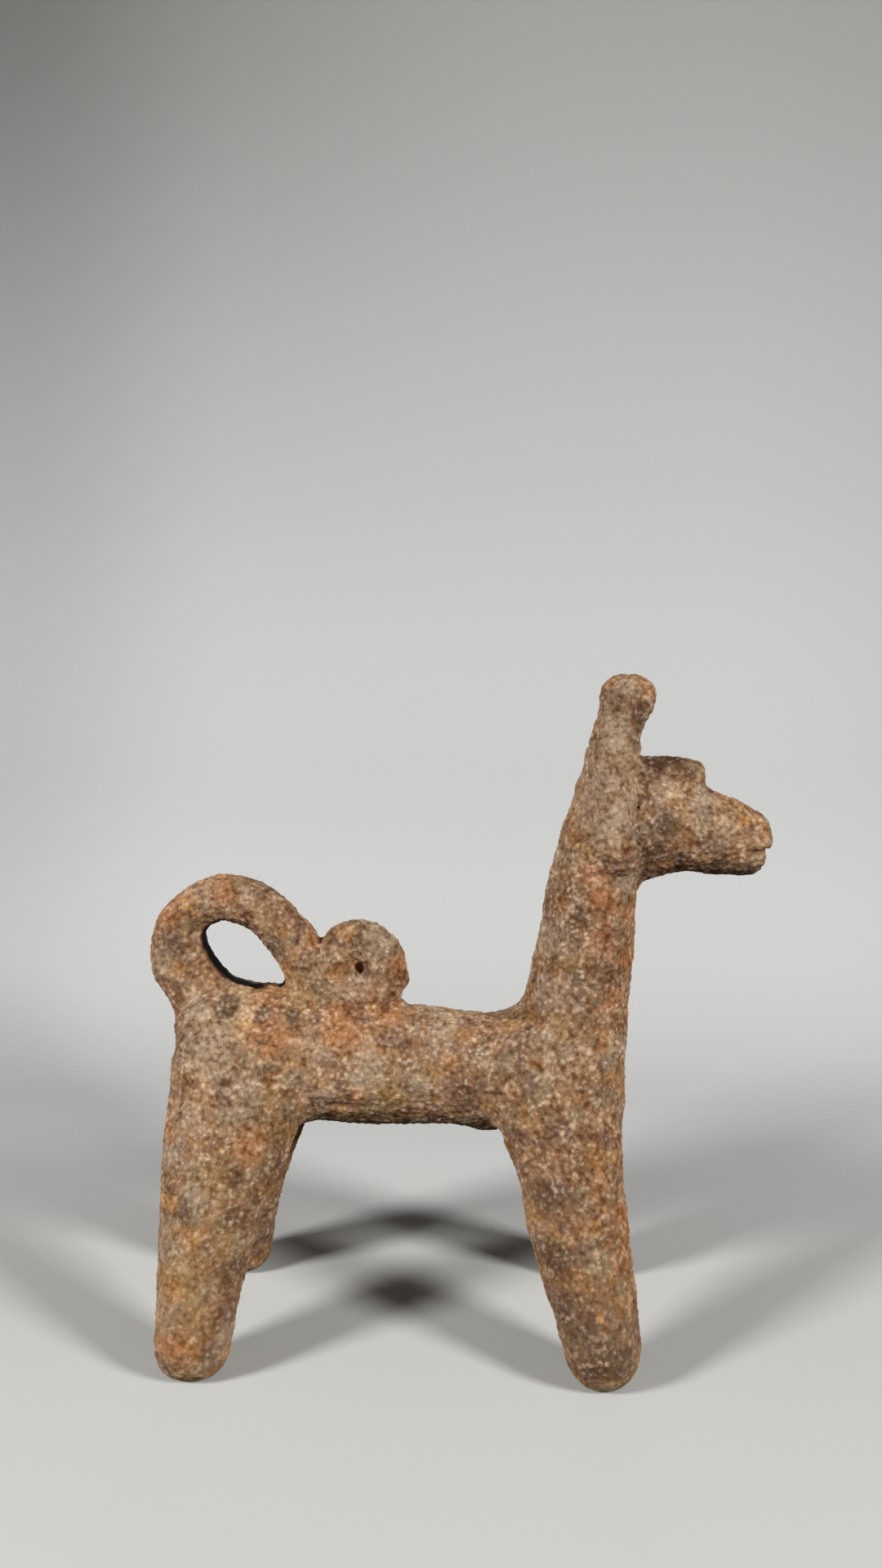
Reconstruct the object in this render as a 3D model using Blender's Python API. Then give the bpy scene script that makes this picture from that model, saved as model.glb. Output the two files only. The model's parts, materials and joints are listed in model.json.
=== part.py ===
"""A hand-modelled terracotta dog, as the rolls and pads of clay that its maker pressed together.

Metres, +Z up. The dog looks along +X and stands on Z = 0, and its right side faces -Y.
Each piece is a roll: elliptical sections along a smooth spine, rounded over at its ends. The root of
a piece is buried in the piece that carries it and cut back to a fitted saddle, as in a luted joint.
"""

import math
from collections import namedtuple

import bmesh
import bpy
from mathutils import Vector

# Trunk, measured from its blunt ends
TRUNK_LENGTH = 0.1355
BELLY_HEIGHT = 0.0632
RUMP_DEPTH = 0.0425
RUMP_WIDTH = 0.0400
RUMP_SAG = 0.0007
RUMP_REACH = 0.0275
RUMP_ROUND = 0.0140
WAIST_DEPTH = 0.0335
WAIST_WIDTH = 0.0360
WAIST_SETBACK = 0.0500
CHEST_DEPTH = 0.0385
CHEST_WIDTH = 0.0400
CHEST_SAG = 0.0022
CHEST_ROUND = 0.0130

# Neck, with heights above the waist's back and setbacks from the chest
NECK_HEIGHT = 0.0805
NECK_BASE_DEPTH = 0.0312
NECK_BASE_WIDTH = 0.0310
NECK_BASE_SETBACK = 0.0132
NECK_FLARE = 0.0210
NECK_FLARE_HEIGHT = 0.0120
NECK_MID_HEIGHT = 0.0340
NECK_MID_DEPTH = 0.0272
NECK_MID_WIDTH = 0.0270
NECK_MID_SETBACK = 0.0102
NECK_NAPE_HEIGHT = 0.0620
NECK_NAPE_DEPTH = 0.0219
NECK_NAPE_WIDTH = 0.0245
NECK_NAPE_SETBACK = 0.0059
CROWN_DEPTH = 0.0168
CROWN_WIDTH = 0.0215
CROWN_SETBACK = 0.0042
CROWN_ROUND = 0.0045

# Head, with its reach ahead of the neck's axis and its jaw line above the waist's back
HEAD_REACH = 0.0487
JAW_HEIGHT = 0.0419
HEAD_ROOT_WIDTH = 0.0170
HEAD_ROOT_ROUND = 0.0030
THROAT_FLARE = 0.0080
BROW_REACH = 0.0155
BROW_DEPTH = 0.0335
BROW_WIDTH = 0.0250
STOP_REACH = 0.0330
STOP_DEPTH = 0.0244
STOP_WIDTH = 0.0215
NOSE_DEPTH = 0.0183
NOSE_WIDTH = 0.0175
NOSE_ROUND = 0.0045
MOUTH_LENGTH = 0.0078
MOUTH_HEIGHT = 0.0070
MOUTH_OPENING = 0.0012
LIP_SETBACK = 0.0024

# Lump pressed on the brow, with its reach ahead of the neck's axis
PAD_REACH = 0.0292
PAD_LENGTH = 0.0205
PAD_DEPTH = 0.0085
PAD_WIDTH = 0.0175
PAD_RISE = 0.0017
PAD_DROOP = 0.0024
PAD_ROUND = 0.0030

# Ears, as a tab down the neck, a stalk and a cupped knob
EAR_TAB_LENGTH = 0.0335
EAR_TAB_DEPTH = 0.0132
EAR_TAB_THICKNESS = 0.0085
EAR_PROUD = 0.0024
EAR_RISE = 0.0253
EAR_LEAN = 0.0042
EAR_STALK_DEPTH = 0.0122
EAR_STALK_THICKNESS = 0.0095
EAR_KNOB_DEPTH = 0.0140
EAR_KNOB_THICKNESS = 0.0112
EAR_KNOB_ROUND = 0.0070
EAR_TAB_ROUND = 0.0040
EAR_SPREAD = 0.0250
EAR_CUP_RADIUS = 0.0075
EAR_CUP_DEPTH = 0.0018

# Tail, as an arch over the rump and a curl at its end
TAIL_SETIN = 0.0017
TAIL_SPAN = 0.0385
TAIL_CREST = 0.0264
TAIL_ROOT_THICKNESS = 0.0182
TAIL_CREST_THICKNESS = 0.0126
TAIL_END_THICKNESS = 0.0158
TAIL_WIDTH = 0.0145
CURL_ROLL = 0.0130
CURL_WIDTH = 0.0140
CURL_EYE = 0.0032
CURL_SINK = 0.0050
CURL_PRESS = 0.0063

# Legs, with heights above the floor
STANCE_WIDTH = 0.0635
HAUNCH_PROUD = 0.0018
LEG_ROOT_WIDTH = 0.0230
LEG_HIP_WIDTH = 0.0236
LEG_SHANK_WIDTH = 0.0228
LEG_ANKLE_WIDTH = 0.0210
LEG_SHANK_HEIGHT = 0.0390
LEG_ANKLE_HEIGHT = 0.0110
LEG_ROOT_ROUND = 0.0100
FOOT_WEAR = 0.0008

# Hind leg, set in from the rump's end
HIND_ROOT_DEPTH = 0.0430
HIND_ROOT_SETIN = 0.0227
HIND_HIP_DEPTH = 0.0386
HIND_HIP_SETIN = 0.0199
HIND_SHANK_DEPTH = 0.0290
HIND_SHANK_SETIN = 0.0148
HIND_ANKLE_DEPTH = 0.0220
HIND_ANKLE_SETIN = 0.0118

# Foreleg, set back from the chest's end
FORE_ROOT_DEPTH = 0.0430
FORE_ROOT_SETBACK = 0.0233
FORE_HIP_DEPTH = 0.0340
FORE_HIP_SETBACK = 0.0188
FORE_SHANK_DEPTH = 0.0288
FORE_SHANK_SETBACK = 0.0143
FORE_ANKLE_DEPTH = 0.0220
FORE_ANKLE_SETBACK = 0.0083

# Gap left in each luted joint
JOINT_GAP = 0.0003

# Fineness of the facets
SIDES = 20
RINGS_PER_SPAN = 4
RINGS_PER_END = 5

# How square the ends are: 2 is an ellipse, more is blunter
SOFT_END = 2.0
BLUNT_END = 3.0

# Steps of the neck's foot, as shares of the flare and of its height, and where the flare goes
NECK_FLARE_STEPS = ((1.0, -0.45), (0.25, 0.12), (0.0, 1.0))
NECK_FLARE_BACK = 0.6
NECK_FLARE_SIDE = 0.25

# Steps of the brow's lump from back to front, as shares of its length, its droop and its width
PAD_STEPS = ((0.75, 0.1, 0.8), (0.35, 0.0, 1.0), (0.0, 1.0, 0.9))

# Steps of the ear above the crown, as shares of its lean, its rise and its spread
EAR_STEPS = ((0.0, 0.0, 0.94), (0.4, 0.5, 0.97), (1.0, 1.0, 1.0))

# Points of the tail's arch, as shares of its span and its crest, and where its thickness changes
TAIL_ARCH = ((0.10, -0.10), (0.0, 0.38), (0.06, 0.77), (0.34, 1.0), (0.64, 0.86), (0.89, 0.49), (1.0, 0.22))
TAIL_CREST_POINT = 3

CLAY = (0.31, 0.20, 0.13)
CLAY_PALE = (0.36, 0.26, 0.18)
CLAY_RUST = (0.37, 0.20, 0.10)
CLAY_DARK = (0.24, 0.15, 0.10)
CLAY_ROUGHNESS = 0.93

Section = namedtuple("Section", "x y z depth width")
Roll = namedtuple("Roll", "sections start_round end_round squareness facing")

SIDE_NAMES = {-1: "right", 1: "left"}
UNIT_X = Vector((1.0, 0.0, 0.0))
UNIT_Y = Vector((0.0, 1.0, 0.0))
UNIT_Z = Vector((0.0, 0.0, 1.0))


def eased(sections, steps):
    """The sections with steps spans between each pair, on a smooth curve through all their values."""
    rows = [Vector(section) for section in sections]
    knots = [0.0]
    for before, after in zip(rows, rows[1:]):
        knots.append(knots[-1] + (after - before).to_3d().length)
    slopes = []
    for i in range(len(rows)):
        first = max(i - 1, 0)
        last = min(i + 1, len(rows) - 1)
        slopes.append((rows[last] - rows[first]) / (knots[last] - knots[first]))
    result = []
    for i in range(len(rows) - 1):
        span = knots[i + 1] - knots[i]
        for step in range(steps):
            t = step / steps
            keep = (1 + 2 * t) * (1 - t) ** 2
            lead = t * (1 - t) ** 2 * span
            gain = t * t * (3 - 2 * t)
            trail = t * t * (t - 1) * span
            row = rows[i] * keep + slopes[i] * lead + rows[i + 1] * gain + slopes[i + 1] * trail
            result.append(Section(*row))
    result.append(sections[-1])
    return result


def section_at(roll, axis, value):
    """The roll's own section where its spine passes a value of x or z."""
    sections = eased(roll.sections, RINGS_PER_SPAN)
    for before, after in zip(sections, sections[1:]):
        start = getattr(before, axis)
        end = getattr(after, axis)
        if min(start, end) <= value <= max(start, end) and start != end:
            share = (value - start) / (end - start)
            return Section(*Vector(before).lerp(Vector(after), share))
    return min(sections, key=lambda section: abs(getattr(section, axis) - value))


def roll_rings(roll, grow):
    """Centre, direction, depth and width of each ring from end to end, without the two end points.

    The rings all face the roll's own direction or, where it has none, along the spine.
    """
    sections = eased(roll.sections, RINGS_PER_SPAN)
    centres = [Vector(section[:3]) for section in sections]
    rings = []
    for i, section in enumerate(sections):
        ahead = centres[min(i + 1, len(centres) - 1)]
        behind = centres[max(i - 1, 0)]
        direction = roll.facing or (ahead - behind).normalized()
        rings.append((centres[i], direction, section.depth + 2 * grow, section.width + 2 * grow))
    curve = 2.0 / roll.squareness
    for end, outward, length in ((0, -1, roll.start_round), (-1, 1, roll.end_round)):
        centre, direction, depth, width = rings[end]
        for step in range(1, RINGS_PER_END):
            angle = 0.5 * math.pi * step / RINGS_PER_END
            shift = direction * outward * (length + grow) * math.sin(angle) ** curve
            size = math.cos(angle) ** curve
            ring = (centre + shift, direction, depth * size, width * size)
            if outward > 0:
                rings.append(ring)
            else:
                rings.insert(0, ring)
    return rings


def roll_tips(roll, grow):
    """The points where the roll's two rounded ends close."""
    centres = [Vector(section[:3]) for section in eased(roll.sections, RINGS_PER_SPAN)]
    first_way = roll.facing or (centres[1] - centres[0]).normalized()
    last_way = roll.facing or (centres[-1] - centres[-2]).normalized()
    start = centres[0] - first_way * (roll.start_round + grow)
    end = centres[-1] + last_way * (roll.end_round + grow)
    return start, end


def roll_mesh(roll, grow=0.0):
    """The closed skin of a roll, grown all over by the given length."""
    bm = bmesh.new()
    loops = []
    for centre, direction, depth, width in roll_rings(roll, grow):
        across = (UNIT_Y - direction * direction.y).normalized()
        upward = across.cross(direction)
        loop = []
        for side in range(SIDES):
            angle = 2 * math.pi * side / SIDES
            offset = upward * (0.5 * depth * math.cos(angle)) + across * (0.5 * width * math.sin(angle))
            loop.append(bm.verts.new(centre + offset))
        loops.append(loop)
    for lower, upper in zip(loops, loops[1:]):
        for side in range(SIDES):
            following = (side + 1) % SIDES
            bm.faces.new((lower[side], lower[following], upper[following], upper[side]))
    for tip, loop in zip(roll_tips(roll, grow), (loops[0], loops[-1])):
        point = bm.verts.new(tip)
        for side in range(SIDES):
            bm.faces.new((point, loop[side], loop[(side + 1) % SIDES]))
    bmesh.ops.recalc_face_normals(bm, faces=bm.faces)
    # Faces between turned rings aren't flat, so each is split the same way in the piece and in its seat
    bmesh.ops.triangulate(bm, faces=bm.faces, quad_method="FIXED")
    return bm


def worn_flat(bm):
    """Takes off what lies under the floor and closes the foot with a flat face."""
    everything = bm.verts[:] + bm.edges[:] + bm.faces[:]
    cut = bmesh.ops.bisect_plane(
        bm, geom=everything, plane_co=(0, 0, 0), plane_no=(0, 0, 1), clear_inner=True
    )
    rim = [item for item in cut["geom_cut"] if isinstance(item, bmesh.types.BMEdge)]
    bmesh.ops.edgeloop_fill(bm, edges=rim)
    bmesh.ops.recalc_face_normals(bm, faces=bm.faces)
    return bm


def outline_mesh(outline, half_width):
    """A side outline of (x, z) points, extruded across the figure."""
    bm = bmesh.new()
    face = bm.faces.new([bm.verts.new((x, -half_width, z)) for x, z in outline])
    extruded = bmesh.ops.extrude_face_region(bm, geom=[face])
    moved = [item for item in extruded["geom"] if isinstance(item, bmesh.types.BMVert)]
    bmesh.ops.translate(bm, verts=moved, vec=(0, 2 * half_width, 0))
    bmesh.ops.recalc_face_normals(bm, faces=bm.faces)
    return bm


def ring_mesh(centre, inner, outer, width):
    """A tight ring of a round roll, turned about the Y axis through its centre."""
    bm = bmesh.new()
    middle = 0.5 * (inner + outer)
    thickness = 0.5 * (outer - inner)
    loop = []
    for side in range(SIDES):
        angle = 2 * math.pi * side / SIDES
        place = (middle + thickness * math.cos(angle), 0.5 * width * math.sin(angle), 0.0)
        loop.append(bm.verts.new(centre + Vector(place)))
    edges = [bm.edges.new((loop[side], loop[(side + 1) % SIDES])) for side in range(SIDES)]
    bmesh.ops.spin(
        bm, geom=edges, cent=centre, axis=UNIT_Y, angle=2 * math.pi, steps=SIDES, use_merge=True
    )
    bmesh.ops.recalc_face_normals(bm, faces=bm.faces)
    return bm


def ball_mesh(centre, radius):
    """A ball, used to press a shallow cup."""
    bm = bmesh.new()
    bmesh.ops.create_uvsphere(bm, u_segments=SIDES, v_segments=SIDES // 2, radius=radius)
    bmesh.ops.translate(bm, verts=bm.verts, vec=centre)
    return bm


def fired_clay(name, colour):
    """Dull fired clay of one colour."""
    material = bpy.data.materials.new(name)
    material.use_nodes = True
    shader = material.node_tree.nodes["Principled BSDF"]
    shader.inputs["Base Color"].default_value = (*colour, 1.0)
    shader.inputs["Roughness"].default_value = CLAY_ROUGHNESS
    shader.inputs["Metallic"].default_value = 0.0
    return material


def placed(name, bm, figure):
    """A new object of the figure, made from a finished bmesh."""
    mesh = bpy.data.meshes.new(name)
    bm.to_mesh(mesh)
    bm.free()
    made = bpy.data.objects.new(name, mesh)
    bpy.context.scene.collection.objects.link(made)
    made.parent = figure
    return made


def piece(name, bm, figure, colour, cutters=()):
    """A piece of clay, cut back to a saddle on each piece that carries it."""
    made = placed(name, bm, figure)
    made.data.materials.append(fired_clay(name + "_clay", colour))
    made.data.shade_smooth()
    for tool in cutters:
        cut = made.modifiers.new("cut_by_" + tool.name, "BOOLEAN")
        cut.operation = "DIFFERENCE"
        cut.solver = "EXACT"
        cut.object = tool
    return made


def cutter(name, bm, figure):
    """A hidden tool that cuts a saddle, a slit or a cup."""
    made = placed(name, bm, figure)
    made.hide_render = True
    made.display_type = "WIRE"
    return made


def trunk_roll():
    rump_x = -0.5 * TRUNK_LENGTH
    chest_x = 0.5 * TRUNK_LENGTH
    rump_z = BELLY_HEIGHT - RUMP_SAG + 0.5 * RUMP_DEPTH
    waist_z = BELLY_HEIGHT + 0.5 * WAIST_DEPTH
    chest_z = BELLY_HEIGHT - CHEST_SAG + 0.5 * CHEST_DEPTH
    sections = (
        Section(rump_x + RUMP_ROUND, 0, rump_z, RUMP_DEPTH, RUMP_WIDTH),
        Section(rump_x + RUMP_REACH, 0, rump_z, RUMP_DEPTH, RUMP_WIDTH),
        Section(chest_x - WAIST_SETBACK, 0, waist_z, WAIST_DEPTH, WAIST_WIDTH),
        Section(chest_x - CHEST_ROUND, 0, chest_z, CHEST_DEPTH, CHEST_WIDTH),
    )
    return Roll(sections, RUMP_ROUND, CHEST_ROUND, BLUNT_END, UNIT_X)


def neck_roll():
    """The neck, whose foot flares out backwards where it is smeared on the back."""
    chest_x = 0.5 * TRUNK_LENGTH
    back = BELLY_HEIGHT + WAIST_DEPTH
    base_x = chest_x - NECK_BASE_SETBACK
    crown_z = back + NECK_HEIGHT - CROWN_ROUND
    sections = []
    for flare, height in NECK_FLARE_STEPS:
        spread = flare * NECK_FLARE
        sections.append(
            Section(
                base_x - NECK_FLARE_BACK * spread,
                0,
                back + height * NECK_FLARE_HEIGHT,
                NECK_BASE_DEPTH + spread,
                NECK_BASE_WIDTH + NECK_FLARE_SIDE * spread,
            )
        )
    sections += [
        Section(chest_x - NECK_MID_SETBACK, 0, back + NECK_MID_HEIGHT, NECK_MID_DEPTH, NECK_MID_WIDTH),
        Section(chest_x - NECK_NAPE_SETBACK, 0, back + NECK_NAPE_HEIGHT, NECK_NAPE_DEPTH, NECK_NAPE_WIDTH),
        Section(chest_x - CROWN_SETBACK, 0, crown_z, CROWN_DEPTH, CROWN_WIDTH),
    ]
    return Roll(tuple(sections), CROWN_ROUND, CROWN_ROUND, SOFT_END, UNIT_Z)


def head_roll(neck):
    """The head, a wedge with a level jaw line and a throat that flares into the neck."""
    jaw = BELLY_HEIGHT + WAIST_DEPTH + JAW_HEIGHT
    brow_z = jaw + 0.5 * BROW_DEPTH
    axis_x = section_at(neck, "z", brow_z).x
    nose_x = axis_x + HEAD_REACH
    sections = (
        Section(axis_x, 0, brow_z - 0.5 * THROAT_FLARE, BROW_DEPTH + THROAT_FLARE, HEAD_ROOT_WIDTH),
        Section(axis_x + BROW_REACH, 0, brow_z, BROW_DEPTH, BROW_WIDTH),
        Section(axis_x + STOP_REACH, 0, jaw + 0.5 * STOP_DEPTH, STOP_DEPTH, STOP_WIDTH),
        Section(nose_x - NOSE_ROUND, 0, jaw + 0.5 * NOSE_DEPTH, NOSE_DEPTH, NOSE_WIDTH),
    )
    return Roll(sections, HEAD_ROOT_ROUND, NOSE_ROUND, SOFT_END, UNIT_X)


def mouth_outline(head):
    """The slit between the lips, open at the nose, with the space ahead of the shorter lower jaw."""
    last = head.sections[-1]
    nose_x = last.x + head.end_round
    jaw = last.z - 0.5 * last.depth
    slit = jaw + MOUTH_HEIGHT
    clear = nose_x + head.end_round
    return (
        (nose_x - MOUTH_LENGTH, slit),
        (nose_x - LIP_SETBACK, slit - 0.5 * MOUTH_OPENING),
        (nose_x - LIP_SETBACK, jaw - MOUTH_HEIGHT),
        (clear, jaw - MOUTH_HEIGHT),
        (clear, slit + 0.5 * MOUTH_OPENING),
        (nose_x - LIP_SETBACK, slit + 0.5 * MOUTH_OPENING),
    )


def pad_roll(head):
    """The lump on the brow, level at the back and drooping to a steep front edge."""
    brow = head.sections[1]
    top = brow.z + 0.5 * brow.depth + PAD_RISE
    front_x = head.sections[0].x + PAD_REACH - PAD_ROUND
    sections = []
    for share, droop, size in PAD_STEPS:
        z = top - droop * PAD_DROOP - 0.5 * PAD_DEPTH
        sections.append(Section(front_x - share * PAD_LENGTH, 0, z, PAD_DEPTH, size * PAD_WIDTH))
    back_round = (1.0 - PAD_STEPS[0][0]) * PAD_LENGTH
    return Roll(tuple(sections), back_round, PAD_ROUND, BLUNT_END, UNIT_X)


def ear_roll(neck, side):
    """A tab pressed down the neck's side, with its stalk and knob standing above the crown."""
    crown_z = neck.sections[-1].z
    low = section_at(neck, "z", crown_z - EAR_TAB_LENGTH + EAR_TAB_ROUND)
    nape = section_at(neck, "z", crown_z - 0.5 * EAR_TAB_LENGTH)
    crown = neck.sections[-1]
    sections = [
        Section(
            under.x + shift,
            side * (0.5 * under.width + EAR_PROUD - 0.5 * EAR_TAB_THICKNESS),
            under.z,
            EAR_TAB_DEPTH,
            EAR_TAB_THICKNESS,
        )
        for under, shift in ((low, EAR_LEAN), (nape, 0.5 * EAR_LEAN))
    ]
    stalk = (EAR_STALK_DEPTH, EAR_STALK_THICKNESS)
    knob = (EAR_KNOB_DEPTH, EAR_KNOB_THICKNESS)
    for (lean, up, spread), size in zip(EAR_STEPS, (stalk, stalk, knob)):
        x = crown.x + lean * EAR_LEAN
        y = side * spread * 0.5 * EAR_SPREAD
        z = crown_z + up * (EAR_RISE - EAR_KNOB_ROUND)
        sections.append(Section(x, y, z, *size))
    return Roll(tuple(sections), EAR_TAB_ROUND, EAR_KNOB_ROUND, SOFT_END, UNIT_Z)


def ear_cup(ear, side):
    """A ball that presses the shallow cup into the knob's outer face."""
    knob = ear.sections[-1]
    face = knob.y + side * 0.5 * knob.width
    centre = Vector((knob.x + 0.5 * EAR_LEAN, face + side * (EAR_CUP_RADIUS - EAR_CUP_DEPTH), knob.z))
    return ball_mesh(centre, EAR_CUP_RADIUS)


def tail_roll(trunk):
    """The arch of the tail, from the middle of the rump over to the middle of the back."""
    start_x = -0.5 * TRUNK_LENGTH + TAIL_SETIN
    base_z = BELLY_HEIGHT - RUMP_SAG + RUMP_DEPTH
    root = section_at(trunk, "x", start_x + TAIL_ROOT_THICKNESS)
    end = section_at(trunk, "x", start_x + TAIL_SPAN + 0.5 * TAIL_END_THICKNESS)
    sections = [Section(root.x, 0, root.z, TAIL_ROOT_THICKNESS, TAIL_WIDTH)]
    for i, (along, up) in enumerate(TAIL_ARCH):
        if i <= TAIL_CREST_POINT:
            start, finish = TAIL_ROOT_THICKNESS, TAIL_CREST_THICKNESS
            share = max(i - 1, 0) / (TAIL_CREST_POINT - 1)
        else:
            start, finish = TAIL_CREST_THICKNESS, TAIL_END_THICKNESS
            share = (i - TAIL_CREST_POINT) / (len(TAIL_ARCH) - 1 - TAIL_CREST_POINT)
        thickness = start + (finish - start) * share
        sections.append(
            Section(start_x + along * TAIL_SPAN, 0, base_z + up * TAIL_CREST, thickness, TAIL_WIDTH)
        )
    sections.append(Section(end.x, 0, end.z, TAIL_END_THICKNESS, TAIL_WIDTH))
    return Roll(tuple(sections), JOINT_GAP, JOINT_GAP, SOFT_END, None)


def curl_centre(trunk):
    """The eye of the curl, pressed against the tail's foot and sunk in the back."""
    outer = 0.5 * CURL_EYE + CURL_ROLL
    foot_x = -0.5 * TRUNK_LENGTH + TAIL_SETIN + TAIL_SPAN
    x = foot_x + 0.5 * TAIL_END_THICKNESS + outer - CURL_PRESS
    under = section_at(trunk, "x", x)
    return Vector((x, 0, under.z + 0.5 * under.depth + outer - CURL_SINK))


def leg_roll(trunk, side, places):
    """A leg, from the middle of the trunk to its foot, from (x, depth) at root, hip, shank and ankle."""
    (root_x, root_depth), (hip_x, hip_depth), (shank_x, shank_depth), (ankle_x, ankle_depth) = places
    root = section_at(trunk, "x", root_x)
    root_y = 0.5 * root.width + HAUNCH_PROUD - 0.5 * LEG_ROOT_WIDTH
    ankle_y = 0.5 * STANCE_WIDTH

    def splayed(z):
        return side * (root_y + (ankle_y - root_y) * (root.z - z) / (root.z - LEG_ANKLE_HEIGHT))

    sections = (
        Section(root_x, side * root_y, root.z, root_depth, LEG_ROOT_WIDTH),
        Section(hip_x, splayed(BELLY_HEIGHT), BELLY_HEIGHT, hip_depth, LEG_HIP_WIDTH),
        Section(shank_x, splayed(LEG_SHANK_HEIGHT), LEG_SHANK_HEIGHT, shank_depth, LEG_SHANK_WIDTH),
        Section(ankle_x, side * ankle_y, LEG_ANKLE_HEIGHT, ankle_depth, LEG_ANKLE_WIDTH),
    )
    return Roll(sections, LEG_ROOT_ROUND, LEG_ANKLE_HEIGHT + FOOT_WEAR, SOFT_END, -UNIT_Z)


def hind_places():
    rump_x = -0.5 * TRUNK_LENGTH
    return (
        (rump_x + HIND_ROOT_SETIN, HIND_ROOT_DEPTH),
        (rump_x + HIND_HIP_SETIN, HIND_HIP_DEPTH),
        (rump_x + HIND_SHANK_SETIN, HIND_SHANK_DEPTH),
        (rump_x + HIND_ANKLE_SETIN, HIND_ANKLE_DEPTH),
    )


def fore_places():
    chest_x = 0.5 * TRUNK_LENGTH
    return (
        (chest_x - FORE_ROOT_SETBACK, FORE_ROOT_DEPTH),
        (chest_x - FORE_HIP_SETBACK, FORE_HIP_DEPTH),
        (chest_x - FORE_SHANK_SETBACK, FORE_SHANK_DEPTH),
        (chest_x - FORE_ANKLE_SETBACK, FORE_ANKLE_DEPTH),
    )


def centre_on_origin(figure, pieces):
    """Moves the whole figure so that the middle of its box stands over the origin."""
    bpy.context.view_layer.update()
    reach = [point[0] for made in pieces for point in made.bound_box]
    figure.location.x = -0.5 * (min(reach) + max(reach))


def build():
    for old in list(bpy.data.objects):
        bpy.data.objects.remove(old, do_unlink=True)
    figure = bpy.data.objects.new("dog_figure", None)
    bpy.context.scene.collection.objects.link(figure)

    trunk = trunk_roll()
    neck = neck_roll()
    head = head_roll(neck)
    tail = tail_roll(trunk)

    trunk_seat = cutter("trunk_seat", roll_mesh(trunk, JOINT_GAP), figure)
    neck_seat = cutter("neck_seat", roll_mesh(neck, JOINT_GAP), figure)
    head_seat = cutter("head_seat", roll_mesh(head, JOINT_GAP), figure)
    tail_seat = cutter("tail_seat", roll_mesh(tail, JOINT_GAP), figure)
    mouth = cutter("mouth_slit", outline_mesh(mouth_outline(head), NOSE_WIDTH), figure)

    made = [
        piece("trunk", roll_mesh(trunk), figure, CLAY),
        piece("neck", roll_mesh(neck), figure, CLAY_RUST, [trunk_seat]),
        piece("head", roll_mesh(head), figure, CLAY, [neck_seat, mouth]),
        piece("tail_loop", roll_mesh(tail), figure, CLAY, [trunk_seat]),
    ]

    ear_seats = []
    for side, side_name in SIDE_NAMES.items():
        ear = ear_roll(neck, side)
        cup = cutter("ear_cup_" + side_name, ear_cup(ear, side), figure)
        ear_seats.append(cutter("ear_seat_" + side_name, roll_mesh(ear, JOINT_GAP), figure))
        tools = [neck_seat, head_seat, cup]
        made.append(piece("ear_" + side_name, roll_mesh(ear), figure, CLAY_PALE, tools))
    pad_tools = [head_seat, neck_seat] + ear_seats
    made.append(piece("brow_pad", roll_mesh(pad_roll(head)), figure, CLAY_DARK, pad_tools))

    outer = 0.5 * CURL_EYE + CURL_ROLL
    curl = ring_mesh(curl_centre(trunk), 0.5 * CURL_EYE, outer, CURL_WIDTH)
    made.append(piece("tail_curl", curl, figure, CLAY_PALE, [trunk_seat, tail_seat]))

    for side, side_name in SIDE_NAMES.items():
        for pair, places in (("front", fore_places()), ("rear", hind_places())):
            leg = worn_flat(roll_mesh(leg_roll(trunk, side, places)))
            name = "leg_" + pair + "_" + side_name
            made.append(piece(name, leg, figure, CLAY_RUST, [trunk_seat, neck_seat]))

    centre_on_origin(figure, made)


build()
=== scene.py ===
"""The looks of a hand-modelled terracotta dog, and the pale studio that it stands in.

Metres, +Z up: the dog looks along +X and its right side faces -Y. The solids are swollen until their
joints close, melted into one skin, smeared at the joints, carved and roughened. The skin is then parted
along the joints again, so that each piece of clay is a closed mesh that meets its neighbours.
"""

import json
import math

import bmesh
import bpy
import numpy as np
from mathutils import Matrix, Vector, noise
from mathutils.bvhtree import BVHTree


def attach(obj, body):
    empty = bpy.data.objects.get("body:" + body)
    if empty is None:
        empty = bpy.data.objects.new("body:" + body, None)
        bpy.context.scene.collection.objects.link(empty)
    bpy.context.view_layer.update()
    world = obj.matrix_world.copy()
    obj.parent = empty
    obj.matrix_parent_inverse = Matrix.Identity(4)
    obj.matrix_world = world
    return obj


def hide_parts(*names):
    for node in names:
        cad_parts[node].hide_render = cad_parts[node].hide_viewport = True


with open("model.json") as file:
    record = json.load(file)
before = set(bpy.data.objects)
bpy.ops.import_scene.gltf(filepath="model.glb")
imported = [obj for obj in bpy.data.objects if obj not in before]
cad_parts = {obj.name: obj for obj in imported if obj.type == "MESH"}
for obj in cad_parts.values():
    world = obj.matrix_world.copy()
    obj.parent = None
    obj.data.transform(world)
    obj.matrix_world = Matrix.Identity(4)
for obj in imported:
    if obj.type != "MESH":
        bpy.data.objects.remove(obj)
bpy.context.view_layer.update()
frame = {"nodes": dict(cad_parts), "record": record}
NODES = sorted(frame["nodes"])
SLOTS = {part["node"]: part["material_slot"] for part in frame["record"]["subparts"]}

# Skin
VOXEL = 0.0005
SWELL = 0.0004
SHRINK = 0.0003
WELD = 0.000001
FAR = 0.012

# How far each kind of piece is smeared from a joint, which takes the lesser of its two
SMEARS = {
    "trunk": 0.0100,
    "leg": 0.0080,
    "neck": 0.0058,
    "tail_loop": 0.0050,
    "head": 0.0045,
    "ear": 0.0018,
    "tail_curl": 0.0010,
    "brow_pad": 0.0012,
}
SMEAR_ROUNDS = 170
EVEN_ROUNDS = 7
EVEN_SHARE = 0.5

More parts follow.
